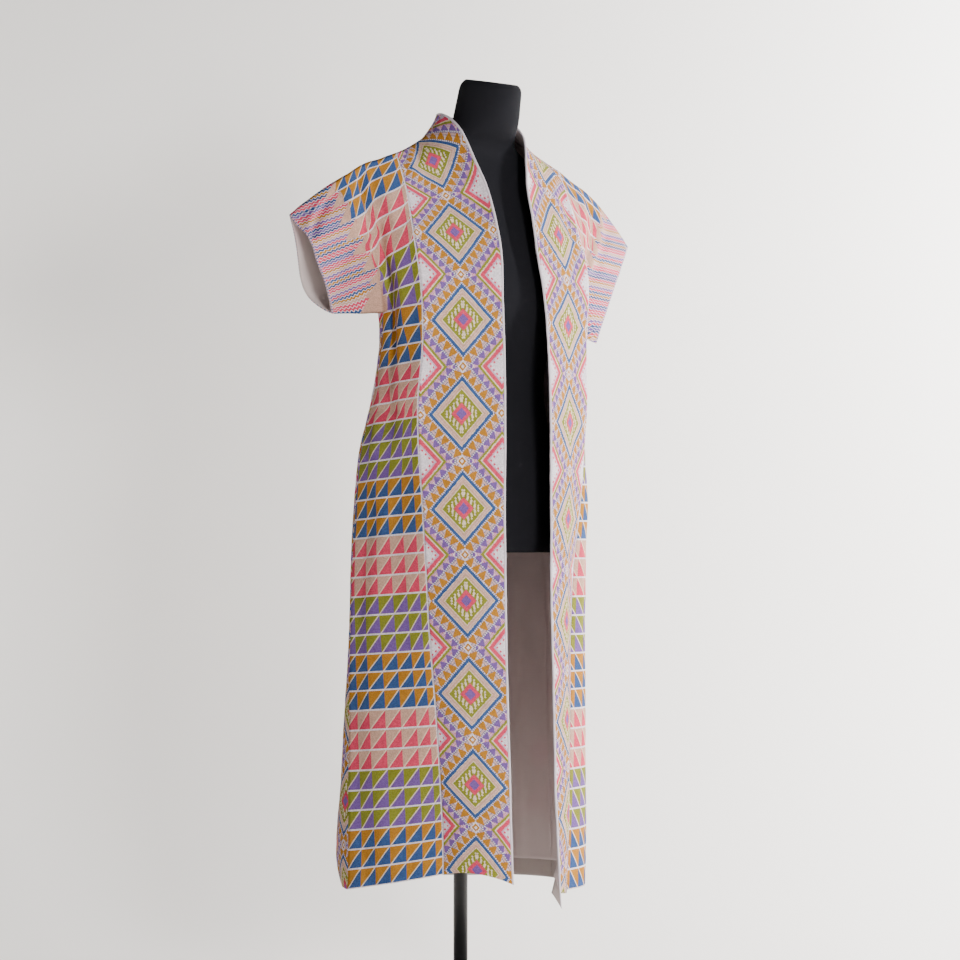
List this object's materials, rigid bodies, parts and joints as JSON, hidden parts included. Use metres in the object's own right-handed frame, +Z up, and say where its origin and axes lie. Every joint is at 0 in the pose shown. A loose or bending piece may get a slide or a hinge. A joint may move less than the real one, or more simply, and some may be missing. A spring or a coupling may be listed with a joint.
{
  "type": "opera coat on a dress form",
  "caption": "Open-fronted coat with wide short sleeves and standing neckband, on a limbless padded dress form with pole and round base.",
  "frame": {"origin": "centre of the stand base's underside, on the floor", "axes": "+Z up along the pole, -Y the coat's front, +X the wearer's left"},
  "size_m": [0.666, 0.3506, 1.4583],
  "materials": {
    "embroidered_cloth": "matte",
    "back_cloth": "matte",
    "lining_cloth": "satin",
    "piping_cloth": "matte",
    "turn_up_cloth": "matte",
    "form_cover": "matte",
    "stand_metal": "satin"
  },
  "bodies": {
    "root": {"front_band_right": "embroidered_cloth", "front_band_left": "embroidered_cloth", "front_side_right": "embroidered_cloth", "front_side_left": "embroidered_cloth", "back": "back_cloth", "neckband_back": "embroidered_cloth", "edge_binding": "piping_cloth", "hem_turnup_front_right": "turn_up_cloth", "hem_turnup_front_left": "turn_up_cloth", "hem_turnup_back": "turn_up_cloth", "lining_front_right": "lining_cloth", "lining_front_left": "lining_cloth", "lining_back": "lining_cloth", "dress_form": "form_cover", "pole": "stand_metal", "base": "stand_metal"}
  },
  "joints": []
}
